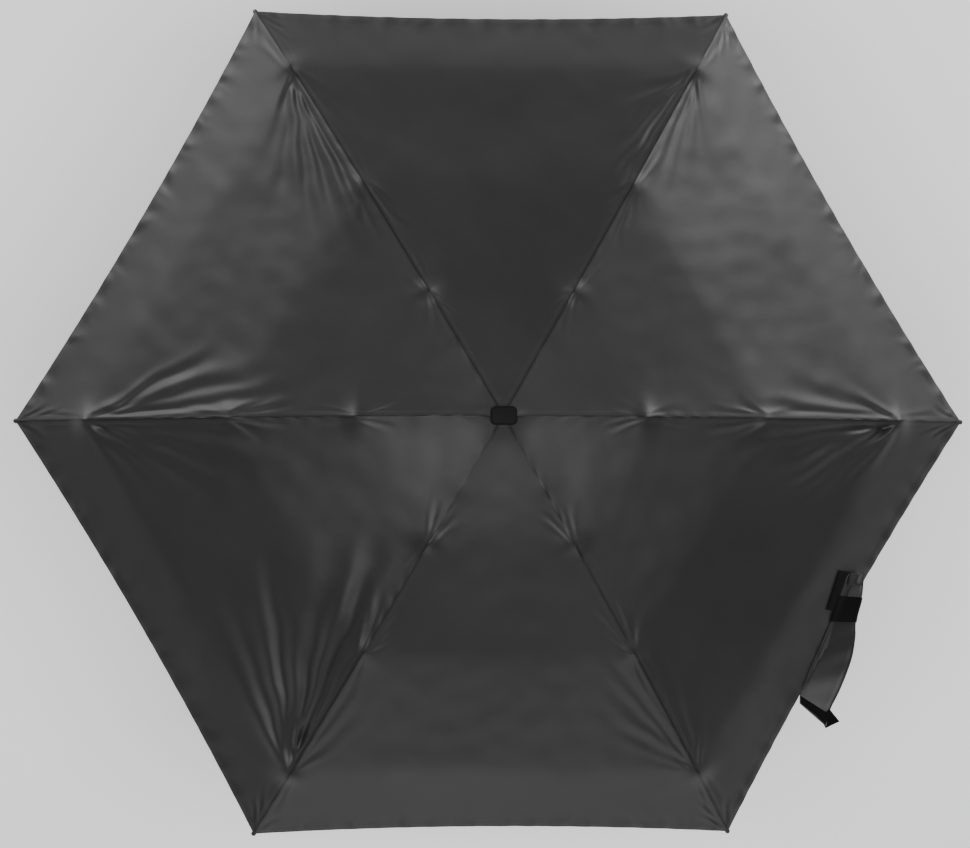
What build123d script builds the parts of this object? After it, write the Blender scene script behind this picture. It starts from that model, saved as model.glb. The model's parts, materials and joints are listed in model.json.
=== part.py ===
from build123d import *
import math
import os

# A six-rib pocket umbrella with four-section ribs and a four-section shaft, modelled open.
# Millimetres and degrees. The origin is on the shaft's axis at the flat foot of the handle,
# +Z runs up to the cap, and the first rib points along +X.

os.makedirs("parts", exist_ok=True)

RIB_COUNT = 6
RIB_STEP = 360 / RIB_COUNT

# Handle and telescoping shaft, from the foot up.
EYELET_HEIGHT = 9.0
EYELET_BORE = 2.0
EYELET_BORE_Z = 4.6
HANDLE_TOP = 45.0
HANDLE_WIDTH = 36.0
HANDLE_DEPTH = 24.0
HANDLE_SOCKET = 28.0
TUBE_RADIUS = [5.5, 4.7, 3.95, 3.2]
TUBE_BORE = [5.0, 4.25, 3.5, 2.7]
TUBE_SHOWN = 100.0
TUBE_LAP = 34.0
TOP_TUBE_LENGTH = 158.0
RUNNING_GAP = 0.06

# Crown and runner: the ribs and stretchers turn on a wire ring in each.
CROWN_Z = HANDLE_TOP + 3 * TUBE_SHOWN + TOP_TUBE_LENGTH
HUB_RADIUS = 11.6
RING_RADIUS = 9.5
RING_WIRE = 0.6
SLOT_WIDTH = 2.7
TUBE_ABOVE_CROWN = 11.0
LATCH_AZIMUTH = 30.0

# One rib: four sections, each hinged to the last on a pivot that stands off its centre line.
SLOPE = [-14.0, -20.0, -28.0, -38.0]
SPAN = [126.0, 126.0, 152.0, 88.0]
WIDTH = [4.4, 3.8, 3.2]
HALF_HEIGHT = [1.7, 1.6, 1.4]
WALL = 0.5
PIVOT_OFFSET = 2.3
WIRE_OFFSET = 2.1
WIRE_RADIUS = 1.0
PIN_RADIUS = 0.8
EYE_RADIUS = 1.55
RIVET_HEAD = 1.3
STRETCHER_SPAN = 70.0
RUNNER_Z = CROWN_Z + 2 * STRETCHER_SPAN * math.sin(math.radians(SLOPE[0]))

# Cover: six panels, with a hem that draws in between the tips, and a closing strap.
FABRIC = 0.5
LIFT = 4.6
TIP_LIFT = 3.1
HEM_DRAW = 6.5
STRAP_WIDTH = 25.0
STRAP_LENGTH = 148.0

CAP_WIDTH = 24.0
CAP_DEPTH = 17.0


def member_plane(azimuth, radius, height, slope):
    """Local X runs along the member, local Y is its upper side, local Z is its hinge axis."""
    a = math.radians(azimuth)
    s = math.radians(slope)
    return Plane(
        origin=(radius * math.cos(a), radius * math.sin(a), height),
        x_dir=(math.cos(s) * math.cos(a), math.cos(s) * math.sin(a), math.sin(s)),
        z_dir=(math.sin(a), -math.cos(a), 0),
    )


def step_along(point, slope, along, above):
    """A point in the rib's own radius and height, moved along and above a member's slope."""
    s = math.radians(slope)
    return (
        point[0] + along * math.cos(s) - above * math.sin(s),
        point[1] + along * math.sin(s) + above * math.cos(s),
    )


def cross(point_a, slope_a, point_b, slope_b):
    """Where two sloping lines meet, in radius and height."""
    ta = math.tan(math.radians(slope_a))
    tb = math.tan(math.radians(slope_b))
    r = (point_b[1] - point_a[1] + ta * point_a[0] - tb * point_b[0]) / (ta - tb)
    return (r, point_a[1] + ta * (r - point_a[0]))


# Centre-line starts of the four sections, chained through their pivots.
START = [(RING_RADIUS, CROWN_Z)]
PIVOT_1 = step_along(START[0], SLOPE[0], SPAN[0], PIVOT_OFFSET)
START.append(step_along(PIVOT_1, SLOPE[1], 0, -PIVOT_OFFSET))
PIVOT_2 = step_along(START[1], SLOPE[1], SPAN[1], -PIVOT_OFFSET)
START.append(step_along(PIVOT_2, SLOPE[2], 0, PIVOT_OFFSET))
PIVOT_3 = step_along(START[2], SLOPE[2], SPAN[2], PIVOT_OFFSET)
START.append(step_along(PIVOT_3, SLOPE[3], 0, -WIRE_OFFSET))
TIP = step_along(START[3], SLOPE[3], SPAN[3], 0)


def save(part, label, node):
    part.label = label
    export_step(part, f"parts/{node}.step")


def eye_profile(offset, half_height, reach, root):
    """Side view of a tongue: an eye at the pivot, joined to a bar that starts at root."""
    side = 1 if offset >= 0 else -1
    with Locations((0, offset)):
        Circle(EYE_RADIUS)
    Polygon(
        (0, offset + side * EYE_RADIUS * 0.98),
        (root + 1.2, side * half_height),
        (reach, side * half_height),
        (reach, -side * half_height),
        (root, -side * half_height),
        (-EYE_RADIUS * 0.8, offset - side * EYE_RADIUS * 0.6),
        align=None,
    )


def ear_profile(span, offset, half_height, back):
    """Side view of a fork's ears: a disc at the pivot, joined to the end of the channel."""
    side = 1 if offset >= 0 else -1
    with Locations((span, offset)):
        Circle(EYE_RADIUS)
    Polygon(
        (span, offset + side * EYE_RADIUS * 0.98),
        (span - 3.8, side * half_height),
        (span - back, side * half_height),
        (span - back, -side * half_height),
        (span - 0.6, -side * half_height),
        (span + EYE_RADIUS * 0.8, offset - side * EYE_RADIUS * 0.6),
        align=None,
    )


def through_rivet(plane, span, offset, width):
    """A through rivet with a flat head on each side, a hair clear of the ears."""
    at = plane.origin + plane.x_dir * span + plane.y_dir * offset
    axis = Plane(origin=at, x_dir=plane.x_dir, z_dir=plane.z_dir)
    inner = width / 2 + 0.03
    with BuildPart() as rivet:
        with BuildSketch(axis):
            Circle(PIN_RADIUS)
        extrude(amount=inner + 0.3, both=True)
        for side in (1, -1):
            with BuildSketch(axis.offset(side * inner)):
                Circle(RIVET_HEAD)
            extrude(amount=side * 0.3)
    return rivet.part


def channel_section(plane, index, eye_offset, ear_offset, tongue, root):
    """A downward-open channel with a tongue at its inner end and ears at its outer end."""
    span = SPAN[index]
    width = WIDTH[index]
    half = HALF_HEIGHT[index]
    hole = RING_WIRE + 0.12 if index == 0 else PIN_RADIUS + RUNNING_GAP
    with BuildPart() as section:
        with BuildSketch(plane):
            Polygon(
                (root, -half), (span - 3, -half), (span - 3, half), (root, half), align=None
            )
            ear_profile(span, ear_offset, half, 6.0)
        extrude(amount=width / 2, both=True)
        with BuildSketch(plane):
            Polygon(
                (root + 2.2, -half - 1),
                (span - 2.8, -half - 1),
                (span - 2.8, half - WALL),
                (root + 2.2, half - WALL),
                align=None,
            )
            Polygon(
                (span - 3, -6), (span + 4, -6), (span + 4, 6), (span - 3, 6), align=None
            )
        extrude(amount=width / 2 - WALL, both=True, mode=Mode.SUBTRACT)
        with BuildSketch(plane):
            eye_profile(eye_offset, half * 0.85 if index == 0 else half, root + 2.2, root)
        extrude(amount=tongue / 2, both=True)
        with BuildSketch(plane):
            with Locations((0, eye_offset)):
                Circle(hole)
            with Locations((span, ear_offset)):
                Circle(PIN_RADIUS + 0.03)
        extrude(amount=width, both=True, mode=Mode.SUBTRACT)
    return section.part


def rib_section(azimuth, index, eye_offset, ear_offset, tongue, root, node):
    """One channel section of a rib with the rivet of its outer pivot."""
    plane = member_plane(azimuth, *START[index], SLOPE[index])
    channel = channel_section(plane, index, eye_offset, ear_offset, tongue, root)
    rivet = through_rivet(plane, SPAN[index], ear_offset, WIDTH[index])
    with BuildPart() as rib:
        add(channel)
        if index == 0:
            with BuildSketch(plane):
                with Locations((STRETCHER_SPAN, 0)):
                    Circle(PIN_RADIUS)
            extrude(amount=2.6, both=True)
        add(rivet)
    save(rib.part, "rib section", node)


def outer_rib(azimuth, node):
    """Fourth section: a round wire with a flattened eye, which folds up outside the third."""
    plane = member_plane(azimuth, *START[3], SLOPE[3])
    start = plane.origin + plane.x_dir * 3.4
    with BuildPart() as rib:
        with BuildSketch(plane):
            eye_profile(WIRE_OFFSET, 1.15, 6.5, 2.8)
        extrude(amount=0.9, both=True)
        with BuildSketch(Plane(origin=start, x_dir=plane.z_dir, z_dir=plane.x_dir)):
            Circle(WIRE_RADIUS)
        extrude(amount=SPAN[3] - 3.4 - 1.0)
        with BuildSketch(plane):
            with Locations((0, WIRE_OFFSET)):
                Circle(PIN_RADIUS + RUNNING_GAP)
        extrude(amount=3, both=True, mode=Mode.SUBTRACT)
    save(rib.part, "outer rib wire", node)


def tip_bead(azimuth, node):
    """Round-nosed bead pushed on the wire's end, with a cross hole for the sewing thread."""
    plane = member_plane(azimuth, *START[3], SLOPE[3])
    end = SPAN[3]
    with BuildPart() as bead:
        with BuildSketch(plane):
            with BuildLine():
                Polyline(
                    (end + 2.4, 0), (end - 0.6, 0), (end - 0.6, 1.04), (end - 8, 1.04),
                    (end - 8, 1.6), (end - 3, 1.9), (end - 1.6, 2.3),
                )
                Line((end - 1.6, 2.3), (end, 2.4))
                RadiusArc((end, 2.4), (end + 2.4, 0), 2.4)
            make_face()
        revolve(axis=Axis(plane.origin, plane.x_dir))
        with BuildSketch(plane):
            with Locations((end + 0.9, 0)):
                Circle(0.5)
        extrude(amount=4, both=True, mode=Mode.SUBTRACT)
    save(bead.part, "rib tip", node)


def stretcher(azimuth, node):
    """Twin bars that straddle the inner rib, joined into one tongue on the runner's ring."""
    plane = member_plane(azimuth, RING_RADIUS, RUNNER_Z, -SLOPE[0])
    span = STRETCHER_SPAN
    bar_in = 2.75
    bar_out = 3.55
    with BuildPart() as bars:
        with BuildSketch(plane):
            Polygon((7, -1.3), (span, -1.3), (span, 1.3), (7, 1.3), align=None)
            with Locations((span, 0)):
                Circle(1.6)
        extrude(amount=bar_out, both=True)
        with BuildSketch(plane):
            Polygon((9.4, -3), (span + 3, -3), (span + 3, 3), (9.4, 3), align=None)
        extrude(amount=bar_in, both=True, mode=Mode.SUBTRACT)
        with BuildSketch(plane):
            eye_profile(0, 1.3, 8, 5)
        extrude(amount=1.0, both=True)
        with BuildSketch(plane):
            Circle(RING_WIRE + 0.12)
        extrude(amount=4, both=True, mode=Mode.SUBTRACT)
        for side in (1, -1):
            with BuildSketch(plane.offset(side * bar_out)):
                with Locations((span, 0)):
                    Circle(RIVET_HEAD)
            extrude(amount=side * 0.35)
    save(bars.part, "stretcher", node)


def ring_hub(z, up):
    """Slotted ring hub; its wire groove opens upward when up is 1 and downward when -1."""
    with BuildPart() as hub:
        with BuildSketch(Plane.XY.offset(z - up * 4.5)):
            Circle(HUB_RADIUS)
        extrude(amount=up * 7.1)
        with BuildSketch(Plane.XY.offset(z - up * (RING_WIRE + 0.05))):
            Circle(RING_RADIUS + 0.7)
            Circle(RING_RADIUS - 0.7, mode=Mode.SUBTRACT)
        extrude(amount=up * 8, mode=Mode.SUBTRACT)
        with BuildSketch(Plane.XY.offset(z - 6)):
            with PolarLocations(HUB_RADIUS, RIB_COUNT):
                Rectangle(2 * (HUB_RADIUS - 7.2), SLOT_WIDTH)
        extrude(amount=12, mode=Mode.SUBTRACT)
    return hub.part


def wire_ring(z, node):
    """The closed wire that the six rib eyes turn on."""
    with BuildPart() as ring:
        with BuildSketch(Plane.XZ):
            with Locations((RING_RADIUS, z)):
                Circle(RING_WIRE)
        revolve(axis=Axis.Z)
    save(ring.part, "hinge wire ring", node)


def tube_bottom(index):
    """Height of the lower mouth of a shaft tube, where index 0 is the top tube."""
    if index == 3:
        return HANDLE_TOP - HANDLE_SOCKET
    return CROWN_Z - TOP_TUBE_LENGTH - index * TUBE_SHOWN


def shaft_tube(index):
    """One tube: a flared head that guides it above, a mouth ring and a stop ring below."""
    low = tube_bottom(index)
    if index == 0:
        high = CROWN_Z + TUBE_ABOVE_CROWN
    else:
        high = tube_bottom(index - 1) + TUBE_LAP
    with BuildPart() as tube:
        with BuildSketch(Plane.XY.offset(low)):
            Circle(TUBE_RADIUS[index])
            Circle(TUBE_BORE[index], mode=Mode.SUBTRACT)
        extrude(amount=high - low)
        if index > 0:
            with BuildSketch(Plane.XY.offset(high - 6)):
                Circle(TUBE_BORE[index - 1] - RUNNING_GAP)
                Circle(TUBE_BORE[index], mode=Mode.SUBTRACT)
            extrude(amount=6)
        if index < 3:
            for ring_low, ring_high in ((0, 4), (24, 27.5)):
                with BuildSketch(Plane.XY.offset(low + ring_low)):
                    Circle(TUBE_BORE[index] + 0.2)
                    Circle(TUBE_RADIUS[index + 1] + RUNNING_GAP, mode=Mode.SUBTRACT)
                extrude(amount=ring_high - ring_low)
    return tube.part


# Shaft.
LATCH_PLANE = member_plane(LATCH_AZIMUTH, 0, RUNNER_Z, 0)
plain_tubes = [shaft_tube(index) for index in range(4)]

with BuildPart() as top_tube:
    add(plain_tubes[0])
    with BuildSketch(LATCH_PLANE):
        Polygon((5.2, -9.6), (6.3, -9.0), (6.3, -7.7), (5.2, -7.7), align=None)
    extrude(amount=1.1, both=True)
save(top_tube.part, "top shaft tube with latch lug", "shaft_tube_1")

for index in (1, 2, 3):
    save(plain_tubes[index], "shaft tube", f"shaft_tube_{index + 1}")

# Handle: a flat grip with a plugged foot that ends in an eyelet, and a collar at its top.
with BuildPart() as handle:
    with BuildSketch(Plane.XY.offset(EYELET_HEIGHT)):
        RectangleRounded(HANDLE_WIDTH - 2, HANDLE_DEPTH - 2, 9)
    with BuildSketch(Plane.XY.offset((EYELET_HEIGHT + HANDLE_TOP) / 2)):
        RectangleRounded(HANDLE_WIDTH, HANDLE_DEPTH, 10)
    with BuildSketch(Plane.XY.offset(HANDLE_TOP)):
        RectangleRounded(HANDLE_WIDTH - 3, HANDLE_DEPTH - 3, 8.5)
    loft()
    fillet(handle.edges().group_by(Axis.Z)[-1], 2.0)
    fillet(handle.edges().group_by(Axis.Z)[0], 1.0)
    with BuildSketch(Plane.XY.offset(EYELET_HEIGHT)):
        RectangleRounded(28.1, 16.1, 6)
    extrude(amount=3.1, mode=Mode.SUBTRACT)
    with BuildSketch(Plane.XY.offset(HANDLE_TOP - HANDLE_SOCKET)):
        Circle(TUBE_RADIUS[3] + 0.02)
    extrude(amount=HANDLE_SOCKET + 1, mode=Mode.SUBTRACT)
save(handle.part, "handle grip", "handle_grip")

with BuildPart() as end_cap:
    with BuildSketch(Plane.XY.offset(EYELET_HEIGHT)):
        RectangleRounded(28, 16, 6)
    extrude(amount=3)
    with BuildSketch(Plane.XZ):
        with BuildLine():
            Polyline((7, EYELET_HEIGHT + 0.5), (-7, EYELET_HEIGHT + 0.5), (-7, 3), (-4, 0), (4, 0), (7, 3),
                     close=True)
        make_face()
    extrude(amount=4, both=True)
    with BuildSketch(Plane.XZ):
        with Locations((0, EYELET_BORE_Z)):
            Circle(EYELET_BORE)
    extrude(amount=8, both=True, mode=Mode.SUBTRACT)
save(end_cap.part, "handle end cap with eyelet", "handle_end_cap")

with BuildPart() as collar:
    with BuildSketch(Plane.XY.offset(HANDLE_TOP)):
        Circle(6.5)
        Circle(TUBE_RADIUS[3] + 0.03, mode=Mode.SUBTRACT)
    extrude(amount=2)
    chamfer(collar.edges().group_by(Axis.Z)[-1].sort_by(SortBy.RADIUS)[-1], 0.6)
save(collar.part, "handle collar", "handle_collar")

# Crown, with its wire ring, and the cap on the end of the top tube.
crown_ring_hub = ring_hub(CROWN_Z, 1)
with BuildPart() as crown:
    add(crown_ring_hub)
    with BuildSketch(Plane.XY.offset(CROWN_Z - 8)):
        Circle(7.6)
    extrude(amount=3.5)
    with BuildSketch(Plane.XY.offset(CROWN_Z - 12)):
        Circle(TUBE_RADIUS[0] + 0.02)
    extrude(amount=24, mode=Mode.SUBTRACT)
save(crown.part, "crown hub", "crown_hub")
wire_ring(CROWN_Z, "crown_wire")

with BuildPart() as cap:
    with BuildSketch(Plane.XY.offset(CROWN_Z + 7.6)):
        RectangleRounded(CAP_WIDTH, CAP_DEPTH, 4.5)
    extrude(amount=5.2)
    fillet(cap.edges().group_by(Axis.Z)[-1], 2.2)
    fillet(cap.edges().group_by(Axis.Z)[0], 0.6)
    with BuildSketch(Plane.XY.offset(CROWN_Z + 7)):
        Circle(TUBE_RADIUS[0] + 0.02)
    extrude(amount=TUBE_ABOVE_CROWN - 7 + 0.05, mode=Mode.SUBTRACT)
save(cap.part, "cap", "top_cap")

# Runner: a slotted ring hub on a sleeve, with a keyway for the tube's lug and a latch box.
runner_ring_hub = ring_hub(RUNNER_Z, -1)
with BuildPart() as runner:
    add(runner_ring_hub)
    with BuildSketch(Plane.XY.offset(RUNNER_Z - 16)):
        Circle(8.0)
    extrude(amount=13.6)
    with BuildSketch(Plane.XY.offset(RUNNER_Z - 16)):
        Circle(9.4)
    extrude(amount=2)
    with BuildSketch(LATCH_PLANE):
        Polygon((6, -16), (9.2, -16), (9.2, -3), (6, -3), align=None)
    extrude(amount=4.4, both=True)
    with BuildSketch(Plane.XY.offset(RUNNER_Z - 20)):
        Circle(TUBE_RADIUS[0] + 0.08)
    extrude(amount=30, mode=Mode.SUBTRACT)
    with BuildSketch(LATCH_PLANE):
        Polygon((4, -20), (6.75, -20), (6.75, 10), (4, 10), align=None)
    extrude(amount=1.6, both=True, mode=Mode.SUBTRACT)
    with BuildSketch(LATCH_PLANE):
        Polygon((5, -14.8), (14, -14.8), (14, -4.9), (5, -4.9), align=None)
    extrude(amount=2.75, both=True, mode=Mode.SUBTRACT)
    with BuildSketch(LATCH_PLANE):
        with Locations((7.8, -10)):
            Circle(0.63)
    extrude(amount=4.41, both=True, mode=Mode.SUBTRACT)
    with BuildSketch(LATCH_PLANE):
        with Locations((7.8, -10)):
            Circle(0.6)
    extrude(amount=4.3, both=True)
save(runner.part, "runner with latch pin", "runner")
wire_ring(RUNNER_Z, "runner_wire")

# Latch: a rocker whose tooth rests above the tube's lug; pressing its foot lifts the tooth.
with BuildPart() as latch:
    with BuildSketch(LATCH_PLANE):
        Polygon(
            (6.7, -5.4), (9.6, -5.4), (10.2, -10), (10.6, -14.2), (7.0, -14.2), (7.0, -11),
            (6.7, -10), align=None,
        )
    extrude(amount=2.45, both=True)
    with BuildSketch(LATCH_PLANE):
        Polygon((5.7, -7.5), (5.7, -5.4), (6.9, -5.4), (6.9, -7.5), align=None)
    extrude(amount=1.3, both=True)
    with BuildSketch(LATCH_PLANE):
        with Locations((7.8, -10)):
            Circle(0.6 + RUNNING_GAP)
    extrude(amount=4, both=True, mode=Mode.SUBTRACT)
save(latch.part, "latch rocker", "latch_rocker")

# Ribs.
for k in range(RIB_COUNT):
    azimuth = k * RIB_STEP
    rib_section(azimuth, 0, 0, PIVOT_OFFSET, 2.0, 7.5, f"rib_{k + 1}_inner")
    rib_section(azimuth, 1, PIVOT_OFFSET, -PIVOT_OFFSET, 3.0, 2.8, f"rib_{k + 1}_second")
    rib_section(azimuth, 2, -PIVOT_OFFSET, PIVOT_OFFSET, 2.4, 2.8, f"rib_{k + 1}_third")
    outer_rib(azimuth, f"rib_{k + 1}_outer")
    tip_bead(azimuth, f"rib_{k + 1}_tip")
    stretcher(azimuth, f"rib_{k + 1}_stretcher")

# Cover: each panel follows the two ribs it is sewn along, with its seams a hair apart.
def lifted(index, lift):
    """A point on the line that stands the given height above a section's centre line."""
    return step_along(START[index], SLOPE[index], 0, lift)


COVER = [
    step_along(START[0], SLOPE[0], -6.0, LIFT),
    cross(lifted(0, LIFT), SLOPE[0], lifted(1, LIFT), SLOPE[1]),
    cross(lifted(1, LIFT), SLOPE[1], lifted(2, LIFT), SLOPE[2]),
    cross(lifted(2, LIFT), SLOPE[2], lifted(3, LIFT), SLOPE[3]),
    step_along(START[3], SLOPE[3], SPAN[3], TIP_LIFT),
]
HALF_STEP = math.radians(RIB_STEP / 2)
HEM_RADIUS = COVER[-1][0]


def cover_panel(azimuth, node):
    """One panel, bent along the rib joints and cut to a wedge with a drawn-in hem."""
    plane = member_plane(azimuth, 0, 0, 0)
    under = [(r * math.cos(HALF_STEP), z) for r, z in COVER]
    over = [(r, z + FABRIC / math.cos(math.radians(30))) for r, z in reversed(under)]
    x_dir = (math.cos(math.radians(azimuth)), math.sin(math.radians(azimuth)), 0)
    wedge = Plane(origin=plane.x_dir * 0.1, x_dir=x_dir, z_dir=(0, 0, 1))
    edge_r = HEM_RADIUS * math.cos(HALF_STEP)
    edge_t = HEM_RADIUS * math.sin(HALF_STEP)
    with BuildPart() as panel:
        with BuildSketch(plane):
            Polygon(*under, *over, align=None)
        extrude(amount=HEM_RADIUS, both=True)
        with BuildSketch(wedge):
            with BuildLine():
                Line((0, 0), (edge_r, -edge_t))
                ThreePointArc((edge_r, -edge_t), (edge_r - HEM_DRAW, 0), (edge_r, edge_t))
                Line((edge_r, edge_t), (0, 0))
            make_face()
            Circle(TUBE_RADIUS[0] + 0.5, mode=Mode.SUBTRACT)
        extrude(amount=CROWN_Z + 50, mode=Mode.INTERSECT)
    save(panel.part, "cover panel", node)


for k in range(RIB_COUNT):
    cover_panel((k + 0.5) * RIB_STEP, f"canopy_panel_{k + 1}")

# Closing strap: sewn at the hem between two ribs, it lies along the hem with its end free.
STRAP_TURN = math.atan2(-0.967, -0.254)
STRAP_PLANE = Plane(
    origin=(347, -148, COVER[-1][1] - 3.0),
    x_dir=(math.cos(STRAP_TURN), math.sin(STRAP_TURN), -0.1),
    z_dir=(0.1 * math.cos(STRAP_TURN), 0.1 * math.sin(STRAP_TURN), 1),
)
with BuildPart() as strap:
    with BuildSketch(STRAP_PLANE):
        Polygon(
            (0, -STRAP_WIDTH / 2), (STRAP_LENGTH - 8, -STRAP_WIDTH / 2),
            (STRAP_LENGTH, -STRAP_WIDTH / 2 + 8), (STRAP_LENGTH, STRAP_WIDTH / 2 - 8),
            (STRAP_LENGTH - 8, STRAP_WIDTH / 2), (0, STRAP_WIDTH / 2), align=None,
        )
    extrude(amount=-0.9)
save(strap.part, "closing strap", "closure_strap")

with BuildPart() as hook_patch:
    with BuildSketch(STRAP_PLANE.offset(-0.95)):
        with Locations((STRAP_LENGTH - 22, 0)):
            Rectangle(20, STRAP_WIDTH - 5)
    extrude(amount=-0.8)
save(hook_patch.part, "hook patch", "strap_hook_patch")

with BuildPart() as loop_patch:
    with BuildSketch(STRAP_PLANE.offset(0.05)):
        with Locations((34, 0)):
            Rectangle(21, STRAP_WIDTH - 2)
    extrude(amount=0.8)
save(loop_patch.part, "loop patch", "strap_loop_patch")

# Cover tape: a pile patch sewn to the cover's outer band, beside the strap's sewn end.
TAPE_LENGTH = 40.0
TAPE_WIDTH = 10.0
TAPE_CENTRE = (329.5, -161.5)
TAPE_TURN = math.atan2(-0.956, -0.294)
BAND_TURN = math.radians(330)
BAND_TILT = (COVER[-1][1] - COVER[-2][1]) / ((COVER[-1][0] - COVER[-2][0]) * math.cos(HALF_STEP))


def band_reach(x, y):
    """Distance from the shaft, measured along the middle line of the panel at 330 degrees."""
    return x * math.cos(BAND_TURN) + y * math.sin(BAND_TURN)


TAPE_Z = COVER[-1][1] + BAND_TILT * (band_reach(*TAPE_CENTRE) - HEM_RADIUS * math.cos(HALF_STEP))
TAPE_PLANE = Plane(
    origin=(*TAPE_CENTRE, TAPE_Z + FABRIC / math.cos(math.radians(30)) + 0.15),
    x_dir=(
        math.cos(TAPE_TURN),
        math.sin(TAPE_TURN),
        BAND_TILT * band_reach(math.cos(TAPE_TURN), math.sin(TAPE_TURN)),
    ),
    z_dir=(-BAND_TILT * math.cos(BAND_TURN), -BAND_TILT * math.sin(BAND_TURN), 1),
)
with BuildPart() as cover_tape:
    with BuildSketch(TAPE_PLANE):
        Rectangle(TAPE_LENGTH, TAPE_WIDTH)
    extrude(amount=0.8)
save(cover_tape.part, "cover tape", "cover_tape_patch")
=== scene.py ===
"""A pocket umbrella, open: the fabric cover, its strap and every finish, built round the CAD frame."""
import bpy
import bmesh
import json
import math
import numpy as np
from mathutils import Matrix, Vector, noise
from mathutils.bvhtree import BVHTree


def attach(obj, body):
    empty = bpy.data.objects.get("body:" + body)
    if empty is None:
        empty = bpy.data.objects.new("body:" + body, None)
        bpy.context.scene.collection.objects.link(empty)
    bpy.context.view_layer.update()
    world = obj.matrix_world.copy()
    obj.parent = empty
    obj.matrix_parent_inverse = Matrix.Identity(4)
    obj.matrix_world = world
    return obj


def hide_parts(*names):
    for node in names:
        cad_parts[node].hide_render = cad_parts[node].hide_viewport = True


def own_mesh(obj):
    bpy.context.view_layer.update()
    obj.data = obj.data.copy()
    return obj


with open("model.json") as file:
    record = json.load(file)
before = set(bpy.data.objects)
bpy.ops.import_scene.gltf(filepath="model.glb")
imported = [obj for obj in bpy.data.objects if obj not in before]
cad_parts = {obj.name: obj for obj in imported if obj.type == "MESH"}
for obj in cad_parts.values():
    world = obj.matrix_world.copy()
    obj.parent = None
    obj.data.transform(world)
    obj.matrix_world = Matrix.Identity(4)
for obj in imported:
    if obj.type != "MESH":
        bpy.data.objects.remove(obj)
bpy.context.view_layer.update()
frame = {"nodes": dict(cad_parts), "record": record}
MM = 0.001
C30, S30 = math.cos(math.radians(30)), 0.5
RIBS = 6
RIB_STEP = 60.0

# ---------------------------------------------------------------- the rib line under the fabric
# Lengths here and below are in millimetres, and slopes in degrees, as on the CAD frame's rib sections.
CROWN_Z = 503.0
HINGE_R = 9.5
SLOPES = (-14.0, -20.0, -28.0, -38.0)
SPANS = (126.0, 126.0, 152.0, 88.0)
OFFSETS = (2.3, -2.3, 2.3)
NEXT_OFFSETS = (2.3, -2.3, 2.1)
# How far the cloth lies above each section's line.
LIFTS = (2.6, 2.5, 2.3, 1.95)


def along(point, slope, x, y):
    """The point x along a section's line and y square to it, from a first point."""
    s = math.radians(slope)
    return (point[0] + x * math.cos(s) - y * math.sin(s), point[1] + x * math.sin(s) + y * math.cos(s))


STARTS = [(HINGE_R, CROWN_Z)]
PIVOTS = []
for i in range(3):
    pivot = along(STARTS[i], SLOPES[i], SPANS[i], OFFSETS[i])
    PIVOTS.append(pivot)
    STARTS.append(along(pivot, SLOPES[i + 1], 0, -NEXT_OFFSETS[i]))
CUTS = [p[0] for p in PIVOTS]
CROWN_R = 6.3
TIP_R = 453.6
OUTER_TIE_R = 379
# How far the hem curves in between two tips.
HEM_DRAW = 6.5
# Distance from the seam, as a share of the radius, in the middle of a panel.
HALF_PANEL = 0.433
SAG = 3.4
CROWN_RISE, CROWN_SPREAD = 3.5, 17.0


def rib_height(r):
    """Height of the fabric on a rib's line: a taut curve over the sections, lifted over the hinge ears."""
    lines = []
    for start, slope, lift in zip(STARTS, SLOPES, LIFTS):
        t = math.tan(math.radians(slope))
        lines.append(start[1] + lift / math.cos(math.radians(slope)) + t * (r - start[0]))
    softness = 1.4
    low = np.min(lines, axis=0)
    total = sum(np.exp(-(line - low) / softness) for line in lines)
    return low - softness * np.log(total) * 0.9


# Radius, height and half length of each place where an ear or the tip bead holds the cloth up.
LIFTED = ((76, 0.7, 8.0), (CUTS[0], 4.2, 9.0), (CUTS[1], 2.4, 9.0), (CUTS[2], 5.2, 9.0), (453, 0.7, 7.0))


def ear_lift(r, q):
    """Extra height of the cloth where it tents over the hinge ears, fading away from the rib."""
    out = np.zeros_like(r)
    for at, high, wide in LIFTED:
        out += high * np.exp(-((r - at) / wide) ** 2) * np.exp(-(q / 11.0) ** 1.3)
    return out


# ---------------------------------------------------------------- wrinkles, in plan millimetres
def fold(x, y, start, angle, length, width, depth, bend):
    """One soft crease: a valley with a shoulder on each side, widening and fading along its length."""
    a = math.radians(angle)
    dx, dy = x - start[0], y - start[1]
    u = dx * math.cos(a) + dy * math.sin(a)
    v = -dx * math.sin(a) + dy * math.cos(a) - bend * (u / length) ** 2 * 10
    t = np.clip(u / length, 0, 1)
    envelope = np.where((u > 0) & (u < length), np.minimum(t * 9, 1) * (1 - t) ** 0.8, 0)
    w = width * (0.55 + 1.1 * t)
    shape = -np.exp(-(v / w) ** 2)
    shape += 0.55 * np.exp(-((v - 1.9 * w) / w) ** 2)
    shape += 0.45 * np.exp(-((v + 1.9 * w) / w) ** 2)
    return depth * envelope * shape


def on_rib(azimuth, r):
    """The plan point at a radius on a rib's line."""
    a = math.radians(azimuth)
    return (r * math.cos(a), r * math.sin(a))


FOLDS = []
# Gain on the depth of every fold.
CREASE = 1.7


def fan(azimuth, r, turns, lengths, width, depth):
    """Folds that spread from a tie, turned off the inward direction. Turns of 0 to 180 lean clockwise."""
    depth *= CREASE
    for n, (turn, length) in enumerate(zip(turns, lengths)):
        broader = width * (0.85 + 0.3 * (n % 2))
        fainter = depth * (1.0 - 0.12 * n)
        bend = (-1) ** n * 0.4
        FOLDS.append((azimuth, on_rib(azimuth, r), azimuth + 180 + turn, length, broader, fainter, bend))


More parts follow.
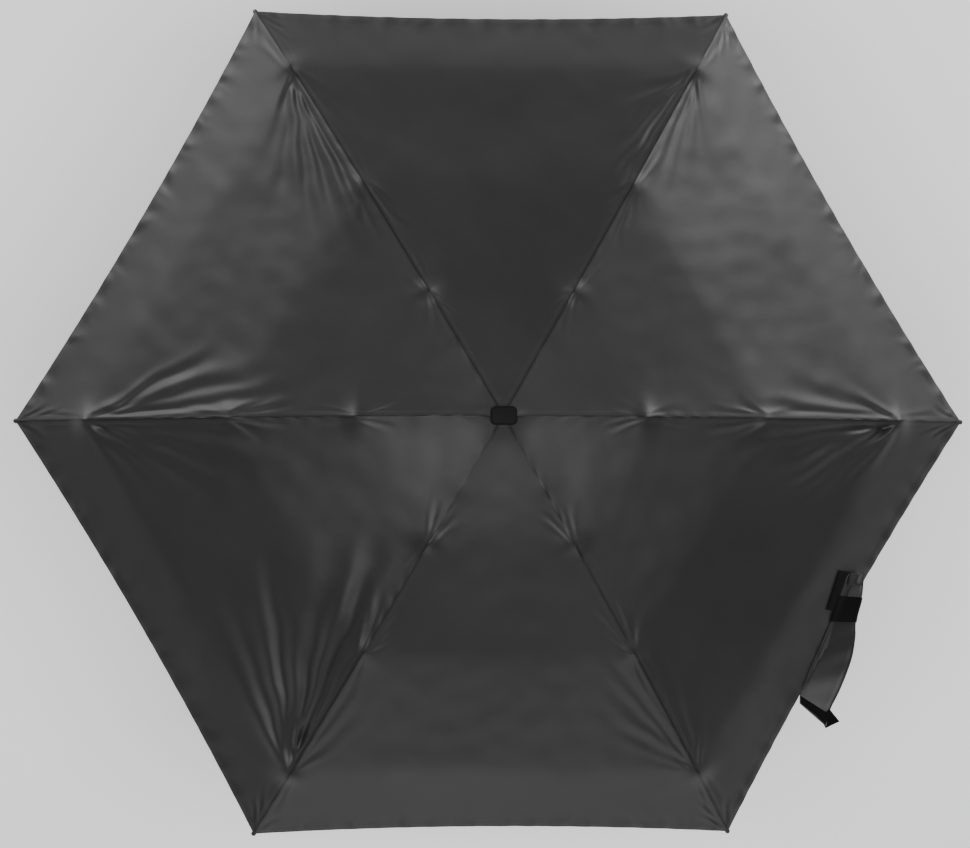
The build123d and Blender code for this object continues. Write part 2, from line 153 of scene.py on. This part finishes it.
fan(120, OUTER_TIE_R, (-6, -14, -24, -35, -47), (190, 180, 165, 140, 100), 4.6, 2.0)
fan(120, OUTER_TIE_R, (8, 20), (80, 60), 3.2, 0.6)
fan(60, OUTER_TIE_R, (-7, -16, -27, -38), (150, 130, 110, 80), 4.2, 1.6)
fan(60, OUTER_TIE_R, (8, 18, 30), (130, 110, 80), 4.0, 0.9)
fan(180, OUTER_TIE_R, (6, 14, 25), (190, 175, 140), 4.8, 1.9)
fan(180, OUTER_TIE_R, (-8, -19, -32, -45), (170, 165, 150, 110), 6.2, 1.9)
fan(0, OUTER_TIE_R, (8, 19, 31, 44), (165, 150, 130, 100), 6.0, 3.4)
fan(0, OUTER_TIE_R, (-6, -15, -26), (150, 120, 80), 4.4, 1.3)
fan(240, OUTER_TIE_R, (9, 21, 35, 50), (235, 225, 215, 190), 6.4, 3.4)
fan(240, OUTER_TIE_R, (4, 14, 27), (150, 120, 90), 2.8, 1.6)
fan(240, OUTER_TIE_R, (-6, -15, -27), (110, 90, 60), 3.4, 0.8)
fan(300, OUTER_TIE_R, (-8, -19, -31), (130, 105, 70), 4.0, 0.9)
fan(300, OUTER_TIE_R, (8, 18, 30, 43), (150, 130, 95, 60), 4.2, 1.0)
for at in range(0, 360, 60):
    fan(at, CUTS[1], (8, 22), (62, 40), 2.6, 0.75)
    fan(at, CUTS[1], (-9, -24), (58, 38), 2.6, 0.7)
    fan(at, CUTS[1], (170, 190), (55, 50), 2.8, 0.5)
    fan(at, CUTS[0], (12, -13), (42, 40), 2.2, 0.5)
    fan(at, CUTS[0], (167, 194), (45, 40), 2.2, 0.35)
    fan(at, OUTER_TIE_R, (172, 188), (60, 58), 2.6, 0.9)
    fan(at, TIP_R - 2, (20, -20, 9), (34, 32, 48), 1.7, 0.8)


def clouds(x, y, scale, shift):
    """Smooth noise over the plan."""
    flat = [
        noise.noise(Vector((a * scale + shift[0], b * scale + shift[1], shift[2])))
        for a, b in zip(x.flat, y.flat)
    ]
    return np.array(flat).reshape(x.shape)


def relief(x, y, r, u, hem, azimuth):
    """Height of every crease, ripple and pucker over the taut surface."""
    q = HALF_PANEL * r * (1 - np.abs(u))
    out = np.zeros_like(x)
    seed = azimuth * 0.13
    broad = clouds(x, y, 0.011, (seed, 0, seed))
    fine = clouds(x, y, 0.045, (7, seed, 3.0))
    bent = clouds(x, y, 0.03, (-4, seed, 9.0))
    # The folds wander a little, but not where the seam holds them.
    free = np.clip(q / 12.0, 0, 1)
    wx = x + free * (2.6 * bent + 0.9 * fine)
    wy = y + free * (0.9 * fine - 2.4 * bent)
    for rib, start, angle, length, width, depth, bend in FOLDS:
        borders = abs((rib - azimuth + 180) % 360 - 180) < 31
        leans_in = math.sin(math.radians(angle - rib)) * math.sin(math.radians(azimuth - rib)) > 0
        if borders and leans_in:
            out += fold(wx, wy, start, angle, length, width, depth, bend)
    out *= np.clip((q - 2.4) / 5.0, 0, 1)
    # Slack in the middle of the panel.
    middle = np.clip(q / 30.0, 0, 1)
    out += middle * (0.85 * broad + 0.45 * fine)
    # Hem: the fold is stitched shorter than the cloth, so the edge ripples.
    t = u * r * S30
    wave = np.sin(t / 4.6 + 3 * broad) + 0.6 * np.sin(t / 2.9 + 5.0 * fine + seed)
    out += 0.8 * wave * np.exp(-(hem / 9.0) ** 1.4) * free
    out += 0.25 * np.exp(-((hem - 3.6) / 3.0) ** 4)
    # Seam: sewn down in a narrow valley, with small puckers beside it.
    pucker = np.sin(r / 3.4 + 4 * broad) * np.exp(-(q / 5.0) ** 2) * np.clip(q / 1.0, 0, 1)
    out += 0.22 * pucker * (0.5 + 0.5 * np.sin(r / 37.0 + seed))
    out -= 0.12 * np.exp(-(q / 0.8) ** 2)
    return out


def surface(u, g, azimuth):
    """Points of one panel. u runs from seam to seam, g from the crown to the hem."""
    r_hem = TIP_R - HEM_DRAW * (1 - u ** 2) / C30
    r = CROWN_R + (r_hem - CROWN_R) * g
    m, t = r * C30, u * r * S30
    a = math.radians(azimuth)
    x = m * math.cos(a) - t * math.sin(a)
    y = m * math.sin(a) + t * math.cos(a)
    q = HALF_PANEL * r * (1 - np.abs(u))
    s = r * (0.75 + 0.25 * np.abs(u))
    hem = (r_hem - r) * C30
    taut = SAG * (1 - u ** 2) * np.sin(np.pi * np.clip(r / TIP_R, 0, 1)) ** 0.8
    z = rib_height(r) - taut + ear_lift(s, q)
    z += relief(x, y, r, u, hem, azimuth)
    z += CROWN_RISE * np.exp(-(r / CROWN_SPREAD) ** 2)
    return np.stack([x, y, z], -1) * MM, q * MM, hem * MM, r * MM


def rib_axes(azimuth):
    """The outward direction at an azimuth, and the level direction square to it."""
    a = math.radians(azimuth)
    return Vector((math.cos(a), math.sin(a), 0)), Vector((-math.sin(a), math.cos(a), 0))


def make_panel(index):
    """Builds one whole panel, cuts it on the rib hinges and its middle line, and returns the pieces."""
    azimuth = (index + 0.5) * RIB_STEP
    # A grid of 168 by 210 quads, closer together near the seams and the hem.
    across = np.linspace(-1, 1, 169)
    across = np.sign(across) * (1 - (1 - np.abs(across)) ** 1.25)
    down = np.linspace(0, 1, 211)
    down = 1 - (1 - down) ** 1.12
    u, g = np.meshgrid(across, down)
    points, q, hem, r = surface(u, g, azimuth)
    rows, cols = u.shape
    ids = np.arange(rows * cols).reshape(rows, cols)
    faces = np.stack([ids[:-1, :-1], ids[1:, :-1], ids[1:, 1:], ids[:-1, 1:]], -1).reshape(-1, 4)
    mesh = bpy.data.meshes.new("panel")
    mesh.from_pydata(points.reshape(-1, 3).tolist(), [], faces.tolist())
    corner = np.empty(len(mesh.loops), int)
    mesh.loops.foreach_get("vertex_index", corner)
    # "cloth" holds the distances from the seam and the hem, "weave" those along the hem and down the panel.
    for label, (first, second) in (("cloth", (q, hem)), ("weave", (u * r * S30, r))):
        uv = np.stack([first.reshape(-1)[corner], second.reshape(-1)[corner]], -1)
        mesh.uv_layers.new(name=label).data.foreach_set("uv", uv.astype(np.float32).ravel())
    bm = bmesh.new()
    bm.from_mesh(mesh)
    bm.normal_update()
    if sum(f.normal.z for f in bm.faces) < 0:
        bmesh.ops.reverse_faces(bm, faces=bm.faces)
    _, side_dir = rib_axes(azimuth)
    for sign in (-1, 1):
        ray, _ = rib_axes(azimuth + sign * RIB_STEP / 2)
        for cut in CUTS:
            own = [f for f in bm.faces if f.calc_center_median().dot(side_dir) * sign > 0]
            geometry = set(own)
            for f in own:
                geometry.update(f.edges)
                geometry.update(f.verts)
            bmesh.ops.bisect_plane(bm, geom=list(geometry), plane_co=ray * cut * MM, plane_no=ray, dist=1e-7)
    bm.normal_update()
    bm.verts.ensure_lookup_table()
    normals = [v.normal.copy() for v in bm.verts]
    bm.verts.index_update()
    groups = {}
    for f in bm.faces:
        c = f.calc_center_median()
        sign = 1 if c.dot(side_dir) > 0 else -1
        ray, _ = rib_axes(azimuth + sign * RIB_STEP / 2)
        s = c.dot(ray) / MM
        band = sum(s > cut for cut in CUTS)
        groups.setdefault((sign, band), []).append(f)
    made = []
    layers = [bm.loops.layers.uv["cloth"], bm.loops.layers.uv["weave"]]
    for (sign, band), faces in sorted(groups.items()):
        rib = (index + (1 if sign > 0 else 0)) % RIBS
        lookup, verts, polys, uvs = {}, [], [], ([], [])
        for f in faces:
            poly = []
            for loop in f.loops:
                v = loop.vert
                if v.index not in lookup:
                    lookup[v.index] = len(verts)
                    verts.append(v.co.copy())
                poly.append(lookup[v.index])
                for n, lay in enumerate(layers):
                    uvs[n].extend(loop[lay].uv[:])
            polys.append(poly)
        name = f"cover_{index + 1}_{'b' if sign > 0 else 'a'}{band + 1}"
        part = bpy.data.meshes.new(name)
        part.from_pydata([tuple(v) for v in verts], [], polys)
        for n, label in enumerate(("cloth", "weave")):
            part.uv_layers.new(name=label).data.foreach_set("uv", uvs[n])
        part.polygons.foreach_set("use_smooth", [True] * len(polys))
        keep = [None] * len(verts)
        for old, new in lookup.items():
            keep[new] = normals[old]
        part.normals_split_custom_set_from_vertices([tuple(n) for n in keep])
        piece = bpy.data.objects.new(name, part)
        bpy.context.collection.objects.link(piece)
        made.append((piece, rib, band, sign))
    bm.free()
    bpy.data.meshes.remove(mesh)
    return made


# ---------------------------------------------------------------- materials
def new_material(name):
    """A material with nodes, its tree and its shader."""
    material = bpy.data.materials.new(name)
    material.use_nodes = True
    tree = material.node_tree
    return material, tree, tree.nodes["Principled BSDF"]


def node(tree, kind, **values):
    """A node with its properties or its inputs set by name."""
    made = tree.nodes.new(kind)
    for key, value in values.items():
        if hasattr(made, key) and key not in made.inputs:
            setattr(made, key, value)
        else:
            made.inputs[key].default_value = value
    return made


def link(tree, a, b):
    tree.links.new(a, b)


def math_node(tree, operation, a, b=None, c=None):
    """The output of a maths node fed with numbers or with other outputs."""
    made = tree.nodes.new("ShaderNodeMath")
    made.operation = operation
    for n, value in enumerate((a, b, c)):
        if value is None:
            continue
        if isinstance(value, (int, float)):
            made.inputs[n].default_value = value
        else:
            link(tree, value, made.inputs[n])
    return made.outputs[0]


def ramp(tree, value, stops):
    """A colour for each value, blended between the stops."""
    made = tree.nodes.new("ShaderNodeValToRGB")
    elements = made.color_ramp.elements
    while len(elements) < len(stops):
        elements.new(0.5)
    for element, (at, colour) in zip(elements, stops):
        element.position = at
        element.color = (*colour, 1)
    link(tree, value, made.inputs["Fac"])
    return made.outputs["Color"]


def mixed(tree, share, under, colour):
    """The colour under, with a share of another colour over it."""
    mix = node(tree, "ShaderNodeMix", data_type="RGBA")
    mix.inputs[7].default_value = (*colour, 1)
    link(tree, share, mix.inputs[0])
    link(tree, under, mix.inputs[6])
    return mix.outputs[2]


def raised(tree, shader, height, strength, distance):
    """Gives a shader a bump from a height."""
    bump = node(tree, "ShaderNodeBump", Strength=strength, Distance=distance)
    link(tree, height, bump.inputs["Height"])
    link(tree, bump.outputs["Normal"], shader.inputs["Normal"])


def dashes(tree, along_seam):
    """1 on each stitch and 0 in the gaps between, 2.7 mm apart."""
    wave = math_node(tree, "SINE", math_node(tree, "MULTIPLY", along_seam, 2300.0))
    return math_node(tree, "GREATER_THAN", wave, -0.35)


def worn_edges(tree, start, gain):
    """How much a spot stands out as an edge, from 0."""
    geometry = node(tree, "ShaderNodeNewGeometry")
    above = math_node(tree, "SUBTRACT", geometry.outputs["Pointiness"], start)
    return math_node(tree, "MAXIMUM", math_node(tree, "MULTIPLY", above, gain), 0.0)


def cloth_material(name, base, light, rough, stitched=True):
    """Fine plain-weave polyester: thread grain, slubs, a soft sheen, sewn seams and hem, and a painted
    shadow line beside each seam.
    """
    material, tree, shader = new_material(name)
    coords = node(tree, "ShaderNodeTexCoord")
    where = coords.outputs["Object"]
    weave_map = node(tree, "ShaderNodeUVMap", uv_map="weave") if stitched else None
    source = weave_map.outputs["UV"] if stitched else where
    warp = node(tree, "ShaderNodeTexWave", bands_direction="X", Scale=520.0, Distortion=0.6)
    weft = node(tree, "ShaderNodeTexWave", bands_direction="Y", Scale=520.0, Distortion=0.6)
    slub = node(tree, "ShaderNodeTexNoise", Scale=240.0, Detail=4.0, Roughness=0.6)
    cloud = node(tree, "ShaderNodeTexNoise", Scale=6.5, Detail=3.0, Roughness=0.55)
    for texture in (warp, weft):
        link(tree, source, texture.inputs["Vector"])
    for texture in (slub, cloud):
        link(tree, where, texture.inputs["Vector"])
    threads = math_node(tree, "MULTIPLY", warp.outputs["Fac"], weft.outputs["Fac"])
    tone = math_node(tree, "ADD", math_node(tree, "MULTIPLY", cloud.outputs["Fac"], 0.55),
                     math_node(tree, "MULTIPLY", slub.outputs["Fac"], 0.3))
    tone = math_node(tree, "ADD", tone, math_node(tree, "MULTIPLY", threads, 0.25))
    colour = ramp(tree, tone, [(0.25, base), (0.85, light)])
    bump_value = math_node(tree, "ADD", math_node(tree, "MULTIPLY", threads, 0.5), slub.outputs["Fac"])
    if stitched:
        cloth_map = node(tree, "ShaderNodeUVMap", uv_map="cloth")
        split = node(tree, "ShaderNodeSeparateXYZ")
        link(tree, cloth_map.outputs["UV"], split.inputs[0])
        seam, hem = split.outputs["X"], split.outputs["Y"]
        weave_split = node(tree, "ShaderNodeSeparateXYZ")
        link(tree, weave_map.outputs["UV"], weave_split.inputs[0])
        dash_a = dashes(tree, weave_split.outputs["X"])
        dash_b = dashes(tree, weave_split.outputs["Y"])
        near_hem = math_node(tree, "COMPARE", hem, 0.0066, 0.00028)
        near_seam = math_node(tree, "COMPARE", seam, 0.0042, 0.00026)
        stitches = math_node(tree, "MAXIMUM", math_node(tree, "MULTIPLY", near_hem, dash_a),
                             math_node(tree, "MULTIPLY", near_seam, dash_b))
        # Painted shadow: the cloth within 1.25 mm of the seam is darkened to a quarter of its base colour,
        # standing in for the shade under the folded seam allowance and beside the rib.
        seam_shadow = math_node(tree, "LESS_THAN", seam, 0.00125)
        colour = mixed(tree, seam_shadow, colour, [c * 0.25 for c in base])
        colour = mixed(tree, math_node(tree, "MULTIPLY", stitches, 0.5), colour, [c * 1.5 for c in light])
        bump_value = math_node(tree, "ADD", bump_value, math_node(tree, "MULTIPLY", stitches, 2.2))
    raised(tree, shader, bump_value, 0.28, 0.00012)
    link(tree, colour, shader.inputs["Base Color"])
    roughness = math_node(tree, "ADD", math_node(tree, "MULTIPLY", cloud.outputs["Fac"], 0.16), rough - 0.08)
    link(tree, roughness, shader.inputs["Roughness"])
    shader.inputs["Specular IOR Level"].default_value = 0.5
    shader.inputs["Sheen Weight"].default_value = 0.08
    shader.inputs["Sheen Roughness"].default_value = 0.4
    return material


def metal_material(name, colour, rough, scratch_scale, metallic=1.0, worn=None):
    """Drawn or painted metal: fine lines along the length, a soft tone change and worn edges."""
    material, tree, shader = new_material(name)
    coords = node(tree, "ShaderNodeTexCoord")
    mapping = node(tree, "ShaderNodeMapping", Scale=(scratch_scale, scratch_scale, scratch_scale * 0.04))
    link(tree, coords.outputs["Object"], mapping.inputs["Vector"])
    lines = node(tree, "ShaderNodeTexNoise", Scale=3.0, Detail=5.0, Roughness=0.65)
    link(tree, mapping.outputs["Vector"], lines.inputs["Vector"])
    spots = node(tree, "ShaderNodeTexNoise", Scale=90.0, Detail=3.0)
    link(tree, coords.outputs["Object"], spots.inputs["Vector"])
    tone = math_node(tree, "ADD", math_node(tree, "MULTIPLY", lines.outputs["Fac"], 0.6),
                     math_node(tree, "MULTIPLY", spots.outputs["Fac"], 0.4))
    dark = tuple(c * 0.72 for c in colour)
    out = ramp(tree, tone, [(0.3, dark), (0.7, colour)])
    if worn:
        edge = math_node(tree, "MULTIPLY", worn_edges(tree, 0.54, 9.0), spots.outputs["Fac"])
        out = mixed(tree, math_node(tree, "MINIMUM", edge, 0.8), out, worn)
    link(tree, out, shader.inputs["Base Color"])
    roughness = math_node(tree, "ADD", math_node(tree, "MULTIPLY", tone, 0.22), rough - 0.1)
    link(tree, roughness, shader.inputs["Roughness"])
    shader.inputs["Metallic"].default_value = metallic
    raised(tree, shader, lines.outputs["Fac"], 0.15, 0.00008)
    return material


def plastic_material(name, colour, rough, grain=900.0, gloss=0.5):
    """Moulded plastic with a fine spark grain, faint flow clouds and polished, handled edges."""
    material, tree, shader = new_material(name)
    coords = node(tree, "ShaderNodeTexCoord")
    where = coords.outputs["Object"]
    spark = node(tree, "ShaderNodeTexNoise", Scale=grain, Detail=3.0, Roughness=0.7)
    cloud = node(tree, "ShaderNodeTexNoise", Scale=35.0, Detail=4.0)
    for texture in (spark, cloud):
        link(tree, where, texture.inputs["Vector"])
    edge = math_node(tree, "MINIMUM", worn_edges(tree, 0.53, 6.0), 0.6)
    tone = math_node(tree, "ADD", cloud.outputs["Fac"], edge)
    darker = tuple(c * 0.8 for c in colour)
    paler = tuple(c * 1.5 + 0.004 for c in colour)
    out = ramp(tree, tone, [(0.3, darker), (1.0, paler)])
    link(tree, out, shader.inputs["Base Color"])
    grainy = math_node(tree, "MULTIPLY", spark.outputs["Fac"], 0.18)
    rough_value = math_node(tree, "ADD", grainy, rough - 0.08)
    rough_value = math_node(tree, "SUBTRACT", rough_value, math_node(tree, "MULTIPLY", edge, 0.3))
    link(tree, rough_value, shader.inputs["Roughness"])
    shader.inputs["Specular IOR Level"].default_value = gloss
    raised(tree, shader, spark.outputs["Fac"], 0.22, 0.0001)
    return material


def fuzz_material(name, colour):
    """Hook-and-loop tape: short dense pile that takes the light unevenly."""
    material, tree, shader = new_material(name)
    coords = node(tree, "ShaderNodeTexCoord")
    pile = node(tree, "ShaderNodeTexVoronoi", Scale=1400.0)
    clump = node(tree, "ShaderNodeTexNoise", Scale=420.0, Detail=5.0, Roughness=0.75)
    for texture in (pile, clump):
        link(tree, coords.outputs["Object"], texture.inputs["Vector"])
    tone = math_node(tree, "MULTIPLY", pile.outputs["Distance"], clump.outputs["Fac"])
    deep = tuple(c * 0.5 for c in colour)
    link(tree, ramp(tree, tone, [(0.05, deep), (0.5, colour)]), shader.inputs["Base Color"])
    shader.inputs["Roughness"].default_value = 0.92
    shader.inputs["Specular IOR Level"].default_value = 0.1
    shader.inputs["Sheen Weight"].default_value = 0.03
    raised(tree, shader, tone, 0.7, 0.0003)
    return material


CLOTH = cloth_material("black_polyester", (0.011, 0.011, 0.0118), (0.022, 0.022, 0.0235), 0.47)
STRAP_CLOTH = cloth_material(
    "strap_polyester", (0.008, 0.008, 0.009), (0.018, 0.018, 0.02), 0.46, stitched=False
)
TAPE = fuzz_material("hook_and_loop", (0.0055, 0.0055, 0.006))
BARE = (0.3, 0.3, 0.31)
FINISHES = {
    "shaft_steel": metal_material("drawn_steel", (0.58, 0.58, 0.6), 0.28, 420.0),
    "hinge_wire": metal_material("wire_steel", (0.5, 0.5, 0.52), 0.32, 300.0),
    "rib_steel": metal_material("black_painted_steel", (0.022, 0.022, 0.024), 0.42, 260.0, 0.25, BARE),
    "rib_wire": metal_material("black_painted_wire", (0.02, 0.02, 0.022), 0.4, 260.0, 0.25, BARE),
    "rib_aluminium": metal_material("grey_aluminium", (0.46, 0.46, 0.49), 0.36, 320.0),
    "tip_plastic": plastic_material("tip_nylon", (0.014, 0.014, 0.015), 0.38),
    "hub_plastic": plastic_material("hub_nylon", (0.02, 0.02, 0.021), 0.45),
    "cap_plastic": plastic_material("cap_abs", (0.003, 0.003, 0.0033), 0.6, 1200.0, 0.12),
    "handle_plastic": plastic_material("handle_soft_touch", (0.018, 0.018, 0.019), 0.58, 700.0),
}


def dress(obj, material):
    """Gives an object one material and no other."""
    obj.data.materials.clear()
    obj.data.materials.append(material)


slots = {row["node"]: row["material_slot"] for row in frame["record"]["subparts"]}
for name, obj in frame["nodes"].items():
    if slots[name] in FINISHES:
        dress(obj, FINISHES[slots[name]])

# ---------------------------------------------------------------- cover
# The frame's bodies for a rib's four sections, and the sections' names.
BODY = "abcd"
# Vertices and faces of the panel that the strap is sewn to.
STRAP_PANEL = 5
under_strap = ([], [])
for index in range(RIBS):
    for piece, rib, band, sign in make_panel(index):
        if index == STRAP_PANEL:
            base = len(under_strap[0])
            under_strap[0].extend(v.co.copy() for v in piece.data.vertices)
            under_strap[1].extend([base + k for k in p.vertices] for p in piece.data.polygons)
        dress(piece, CLOTH)
        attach(piece, f"rib_{rib + 1}_{BODY[band]}")
        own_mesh(piece)
        if band == 0 and sign < 0:
            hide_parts(f"canopy_panel_{index + 1}")


# ---------------------------------------------------------------- closing strap
COVER = BVHTree.FromPolygons(*under_strap)
# The strap's two edges, from where it is sewn on to its free end, in millimetres.
STRAP_OUT = (
    (357, -146, 321), (355.5, -168, 315.5), (351, -191, 308.5), (351, -208, 304), (349, -224, 300.5),
    (344, -241, 298.5), (335.5, -261, 298), (327, -278, 298.5), (322.5, -293, 299.5),
)
STRAP_IN = (
    (340, -146, 323.5), (332, -166, 321), (325.5, -190, 318.6), (319, -206, 315.5), (312, -222, 311),
    (306, -236, 307), (301, -249, 303.5), (297.5, -261, 301), (297, -271, 300),
)


def smooth_line(points, count):
    """A Catmull-Rom curve through given points."""
    p = np.array(points, float)
    p = np.vstack([2 * p[0] - p[1], p, 2 * p[-1] - p[-2]])
    out = []
    for t in np.linspace(0, len(points) - 1, count):
        i = min(int(t), len(points) - 2)
        f = t - i
        a, b, c, d = p[i], p[i + 1], p[i + 2], p[i + 3]
        square_term = (2 * a - 5 * b + 4 * c - d) * f ** 2
        cube_term = (3 * b - a - 3 * c + d) * f ** 3
        out.append(0.5 * (2 * b + (c - a) * f + square_term + cube_term))
    return np.array(out)


# Clearance over the cover in millimetres, and the height in metres that the test rays start from.
CLEAR = 1.3
RAY_START = 0.5


def laid(x, y, z):
    """Lifts a strap point clear of the cover under it."""
    hit = COVER.ray_cast(Vector((x * MM, y * MM, RAY_START)), Vector((0, 0, -1)))[0]
    return z if hit is None else max(z, hit.z / MM + CLEAR)


def band_object(name, vs, fs, thick, material):
    """Makes a thin solid with rounded edges from an upward sheet."""
    mesh = bpy.data.meshes.new(name)
    mesh.from_pydata(vs, [], fs)
    mesh.polygons.foreach_set("use_smooth", [True] * len(fs))
    obj = bpy.data.objects.new(name, mesh)
    bpy.context.collection.objects.link(obj)
    bm = bmesh.new()
    bm.from_mesh(mesh)
    bm.normal_update()
    if sum(f.normal.z for f in bm.faces) < 0:
        bmesh.ops.reverse_faces(bm, faces=bm.faces)
    bm.to_mesh(mesh)
    bm.free()
    modifier = obj.modifiers.new("thick", "SOLIDIFY")
    modifier.thickness = thick * MM
    modifier.offset = -1
    rounded = obj.modifiers.new("edge", "BEVEL")
    rounded.width = min(0.3, thick * 0.4) * MM
    rounded.segments = 2
    rounded.limit_method = "ANGLE"
    rounded.angle_limit = math.radians(50)
    with bpy.context.temp_override(object=obj, active_object=obj, selected_objects=[obj]):
        bpy.ops.object.modifier_apply(modifier="thick")
        bpy.ops.object.modifier_apply(modifier="edge")
    dress(obj, material)
    return obj


def grid_faces(rows, cols):
    """Quads of a grid of (rows + 1) by (cols + 1) points."""
    corners = [i * (cols + 1) + j for i in range(rows) for j in range(cols)]
    return [(k, k + cols + 1, k + cols + 2, k + 1) for k in corners]


def ribbon(name, first, last, left, right, lift, thick, material, puff=0.6):
    """A band of the strap between two shares of its length and width, with a soft crown and turned edges."""
    rows = max(int(110 * (last - first)), 8)
    steps = 120
    outer = smooth_line(STRAP_OUT, steps + 1)
    inner = smooth_line(STRAP_IN, steps + 1)
    vs, cols = [], 22
    for i in range(rows + 1):
        a = first + (last - first) * i / rows
        at = a * steps
        low = min(int(at), steps - 1)
        f = at - low
        o = outer[low] * (1 - f) + outer[low + 1] * f
        n = inner[low] * (1 - f) + inner[low + 1] * f
        for j in range(cols + 1):
            w = left + (right - left) * j / cols
            p = n * (1 - w) + o * w
            z = puff * (1 - (2 * w - 1) ** 4) + 0.35 * math.sin(a * 31 + w * 4) * w
            z += 0.5 * math.exp(-((w - 0.94) / 0.05) ** 2) + 0.5 * math.exp(-((w - 0.06) / 0.05) ** 2)
            # The free end's outer corner turns up.
            curl = max(0.0, (a - 0.9) / 0.1) * max(0.0, (w - 0.55) / 0.45)
            z += 6.5 * curl ** 1.5
            vs.append((p[0] * MM, p[1] * MM, (laid(p[0], p[1], p[2] + 1.5) + z + lift) * MM))
    return band_object(name, vs, grid_faces(rows, cols), thick, material)


def patch(name, corners, lift, thick, material, crown=0.5):
    """A small cloth or tape patch between four corners, in plan millimetres, laid on what is under it."""
    count = 14
    a, b, c, d = (np.array(p, float) for p in corners)
    vs = []
    for i in range(count + 1):
        for j in range(count + 1):
            f, g = i / count, j / count
            p = (a * (1 - f) + d * f) * (1 - g) + (b * (1 - f) + c * f) * g
            z = crown * (1 - (2 * f - 1) ** 6) * (1 - (2 * g - 1) ** 6)
            vs.append((p[0] * MM, p[1] * MM, (laid(p[0], p[1], p[2]) + z + lift) * MM))
    return band_object(name, vs, grid_faces(count, count), thick, material)


strap = ribbon("closure_strap_cloth", 0.0, 1.0, 0.0, 1.0, 0.0, 0.9, STRAP_CLOTH)
loop_band = ribbon("closure_strap_loop", 0.13, 0.262, -0.05, 1.03, 0.9, 0.8, TAPE, 0.7)
hook_band = ribbon("closure_strap_hook", 0.9, 0.985, 0.04, 0.96, 0.75, 0.7, TAPE, 0.7)
# Corners of the stitched square, the turned-up end and the cover's tape, in millimetres.
SQUARE = ((342, -145, 322), (357, -145.5, 321), (355.5, -157, 319), (340.5, -156.5, 321))
CORNER = ((316, -283, 301), (326.5, -276.5, 300.5), (335, -288, 307), (322, -295, 302))
COVER_TAPE = ((330, -142.5, 322), (341, -144, 322), (328.5, -182, 318), (319, -180, 318))
square = patch("closure_strap_base", SQUARE, 1.9, 0.9, STRAP_CLOTH)
corner = patch("closure_strap_corner", CORNER, 1.2, 0.8, TAPE, 0.8)
tape = patch("cover_tape", COVER_TAPE, 0.1, 0.8, TAPE)
# Each piece with its flat size in metres and its slot.
STRAP_PIECES = (
    (strap, (0.026, 0.155), "strap_fabric"),
    (loop_band, (0.021, 0.0265), "hook_and_loop"),
    (hook_band, (0.011, 0.031), "hook_and_loop"),
    (square, (0.0145, 0.0125), "strap_fabric"),
    (corner, (0.0125, 0.0135), "hook_and_loop"),
    (tape, (0.0105, 0.0415), "hook_and_loop"),
)
for piece, flat, slot_name in STRAP_PIECES:
    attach(piece, "rib_1_c")
    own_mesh(piece)
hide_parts("closure_strap")
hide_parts("strap_loop_patch")
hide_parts("strap_hook_patch")
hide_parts("cover_tape_patch")

# ---------------------------------------------------------------- camera, floor and light
camera_data = bpy.data.cameras.new("camera")
camera_data.sensor_width = 36.0
camera_data.lens = 119.8
camera = bpy.data.objects.new("camera", camera_data)
bpy.context.collection.objects.link(camera)
bpy.context.scene.camera = camera
target = Vector((-0.0111, -0.0048, 0.40))
elevation, azimuth = math.radians(86.71), math.radians(63.64)
back = Vector((
    -math.cos(elevation) * math.sin(azimuth),
    -math.cos(elevation) * math.cos(azimuth),
    math.sin(elevation),
))
screen_up = Vector((0, 1, 0))
screen_up = (screen_up - back * screen_up.dot(back)).normalized()
screen_right = screen_up.cross(back)
CAMERA_DISTANCE = 3.0
place = target + back * CAMERA_DISTANCE
camera.matrix_world = Matrix((
    (screen_right.x, screen_up.x, back.x, place.x),
    (screen_right.y, screen_up.y, back.y, place.y),
    (screen_right.z, screen_up.z, back.z, place.z),
    (0, 0, 0, 1),
))
camera_data.clip_start, camera_data.clip_end = 0.05, 50

floor_mesh = bpy.data.meshes.new("floor")
HALF_FLOOR = 8
floor_corners = [(x * HALF_FLOOR, y * HALF_FLOOR, 0) for x, y in ((-1, -1), (1, -1), (1, 1), (-1, 1))]
floor_mesh.from_pydata(floor_corners, [], [(0, 1, 2, 3)])
floor = bpy.data.objects.new("floor", floor_mesh)
bpy.context.collection.objects.link(floor)
floor.location.z = -0.002
floor_material, _, floor_shader = new_material("pale_floor")
floor_shader.inputs["Base Color"].default_value = (0.92, 0.92, 0.92, 1)
floor_shader.inputs["Roughness"].default_value = 0.8
floor_shader.inputs["Emission Color"].default_value = (1, 1, 1, 1)
floor_shader.inputs["Emission Strength"].default_value = 0.3
dress(floor, floor_material)


def soft_light(name, position, aim, size, watts):
    """A rectangular area light turned towards a point."""
    data = bpy.data.lights.new(name, "AREA")
    data.shape = "RECTANGLE"
    data.size, data.size_y = size
    data.energy = watts
    light = bpy.data.objects.new(name, data)
    bpy.context.collection.objects.link(light)
    light.location = position
    light.rotation_mode = "QUATERNION"
    light.rotation_quaternion = (Vector(aim) - Vector(position)).to_track_quat("-Z", "Y")


soft_light("key", (2.3, 2.35, 0.95), (0, 0, 0.38), (0.9, 0.6), 56)
soft_light("left", (-2.15, 2.5, 0.92), (0, 0, 0.38), (0.9, 0.6), 48)
soft_light("low", (0.1, -2.9, 1.0), (0, 0, 0.38), (1.0, 0.5), 9.5)
soft_light("top", (0.0, -0.6, 3.9), (0, -0.05, 0.3), (4.6, 1.7), 138)
world = bpy.data.worlds.new("studio")
bpy.context.scene.world = world
world.use_nodes = True
world.node_tree.nodes["Background"].inputs["Color"].default_value = (1, 1, 1, 1)
world.node_tree.nodes["Background"].inputs["Strength"].default_value = 0.11
